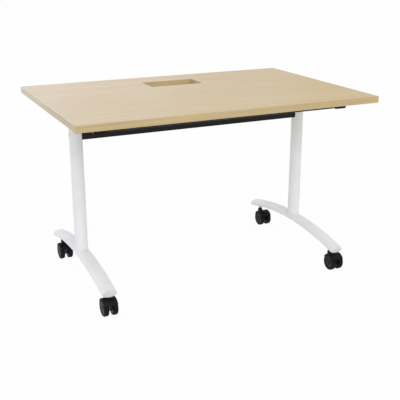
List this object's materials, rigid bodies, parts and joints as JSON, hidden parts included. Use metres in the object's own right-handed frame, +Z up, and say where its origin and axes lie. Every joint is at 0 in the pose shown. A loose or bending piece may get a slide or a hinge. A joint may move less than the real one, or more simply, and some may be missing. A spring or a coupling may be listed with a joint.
{
  "type": "flip top training table",
  "caption": "Rectangular pale wood table with a cable cut-out, on white column legs with arched feet and castors; its top tips upright for nesting when a bar under its edge is pulled.",
  "frame": {"origin": "on the floor under the middle of the top", "axes": "+X along the long side of the top, -Y towards the user's edge with the release bar, +Z up"},
  "size_m": [1.2, 0.8, 0.73],
  "materials": {
    "board": "satin",
    "edge": "satin",
    "white_paint": "satin",
    "white_plastic": "matte",
    "black_paint": "matte",
    "black_plastic": "satin",
    "zinc": "satin",
    "spring_steel": "satin",
    "cast_aluminium": "matte",
    "acetal": "matte"
  },
  "bodies": {
    "frame": {"foot_left": "white_paint", "foot_right": "white_paint", "column_left": "white_paint", "column_right": "white_paint", "pivot_head_left": "cast_aluminium", "pivot_head_right": "cast_aluminium", "pivot_bush_left": "acetal", "pivot_bush_right": "acetal", "beam": "black_paint", "beam_plate_left": "zinc", "beam_plate_right": "zinc", "beam_screw_left": "zinc", "beam_screw_right": "zinc", "foot_cap_front_left": "white_plastic", "foot_cap_front_right": "white_plastic", "foot_cap_rear_left": "white_plastic", "foot_cap_rear_right": "white_plastic", "castor_front_left_stem": "zinc", "castor_front_right_stem": "zinc", "castor_rear_left_stem": "zinc", "castor_rear_right_stem": "zinc"},
    "top": {"tabletop": "board", "edge_band": "edge", "cutout_band": "edge", "arm_left": "black_paint", "arm_right": "black_paint", "arm_cap_front_left": "black_plastic", "arm_cap_front_right": "black_plastic", "arm_cap_rear_left": "black_plastic", "arm_cap_rear_right": "black_plastic", "pivot_pin_left": "zinc", "pivot_pin_right": "zinc", "pivot_nut_left": "zinc", "pivot_nut_right": "zinc", "latch_guide_left": "black_plastic", "latch_guide_right": "black_plastic", "latch_spring_left": "spring_steel", "latch_spring_right": "spring_steel"},
    "release": {"release_bar": "black_paint", "pull_rod_left": "zinc", "pull_rod_right": "zinc", "latch_bolt_left": "zinc", "latch_bolt_right": "zinc"},
    "castor_front_left": {"castor_front_left_housing": "black_plastic", "castor_front_left_axle": "zinc"},
    "castor_front_right": {"castor_front_right_housing": "black_plastic", "castor_front_right_axle": "zinc"},
    "castor_rear_left": {"castor_rear_left_housing": "black_plastic", "castor_rear_left_axle": "zinc"},
    "castor_rear_right": {"castor_rear_right_housing": "black_plastic", "castor_rear_right_axle": "zinc"},
    "wheel_front_left_outer": {"wheel_front_left_outer": "black_plastic"},
    "wheel_front_left_inner": {"wheel_front_left_inner": "black_plastic"},
    "wheel_front_right_outer": {"wheel_front_right_outer": "black_plastic"},
    "wheel_front_right_inner": {"wheel_front_right_inner": "black_plastic"},
    "wheel_rear_left_outer": {"wheel_rear_left_outer": "black_plastic"},
    "wheel_rear_left_inner": {"wheel_rear_left_inner": "black_plastic"},
    "wheel_rear_right_outer": {"wheel_rear_right_outer": "black_plastic"},
    "wheel_rear_right_inner": {"wheel_rear_right_inner": "black_plastic"}
  },
  "joints": [
    {"name": "top_flip", "type": "hinge", "parent": "frame", "child": "top", "pos_m": [0, 0, 0.647], "axis": [-1, 0, 0], "range_deg": [0, 90]},
    {"name": "release_slide", "type": "slide", "parent": "top", "child": "release", "axis": [0, 1, 0], "range_m": [0, 0.0145], "deforming": ["latch_spring_left", "latch_spring_right"]},
    {"name": "swivel_front_left", "type": "hinge", "parent": "frame", "child": "castor_front_left", "pos_m": [-0.49, -0.295, 0.06], "axis": [0, 0, 1], "continuous": true},
    {"name": "swivel_front_right", "type": "hinge", "parent": "frame", "child": "castor_front_right", "pos_m": [0.49, -0.295, 0.06], "axis": [0, 0, 1], "continuous": true},
    {"name": "swivel_rear_left", "type": "hinge", "parent": "frame", "child": "castor_rear_left", "pos_m": [-0.49, 0.295, 0.06], "axis": [0, 0, 1], "continuous": true},
    {"name": "swivel_rear_right", "type": "hinge", "parent": "frame", "child": "castor_rear_right", "pos_m": [0.49, 0.295, 0.06], "axis": [0, 0, 1], "continuous": true},
    {"name": "roll_front_left_outer", "type": "hinge", "parent": "castor_front_left", "child": "wheel_front_left_outer", "pos_m": [-0.5075, -0.323, 0.03321], "axis": [1, 0, 0], "continuous": true},
    {"name": "roll_front_left_inner", "type": "hinge", "parent": "castor_front_left", "child": "wheel_front_left_inner", "pos_m": [-0.4725, -0.323, 0.03321], "axis": [1, 0, 0], "continuous": true},
    {"name": "roll_front_right_outer", "type": "hinge", "parent": "castor_front_right", "child": "wheel_front_right_outer", "pos_m": [0.5075, -0.323, 0.03321], "axis": [1, 0, 0], "continuous": true},
    {"name": "roll_front_right_inner", "type": "hinge", "parent": "castor_front_right", "child": "wheel_front_right_inner", "pos_m": [0.4725, -0.323, 0.03321], "axis": [1, 0, 0], "continuous": true},
    {"name": "roll_rear_left_outer", "type": "hinge", "parent": "castor_rear_left", "child": "wheel_rear_left_outer", "pos_m": [-0.5075, 0.267, 0.03321], "axis": [1, 0, 0], "continuous": true},
    {"name": "roll_rear_left_inner", "type": "hinge", "parent": "castor_rear_left", "child": "wheel_rear_left_inner", "pos_m": [-0.4725, 0.267, 0.03321], "axis": [1, 0, 0], "continuous": true},
    {"name": "roll_rear_right_outer", "type": "hinge", "parent": "castor_rear_right", "child": "wheel_rear_right_outer", "pos_m": [0.5075, 0.267, 0.03321], "axis": [1, 0, 0], "continuous": true},
    {"name": "roll_rear_right_inner", "type": "hinge", "parent": "castor_rear_right", "child": "wheel_rear_right_inner", "pos_m": [0.4725, 0.267, 0.03321], "axis": [1, 0, 0], "continuous": true}
  ]
}
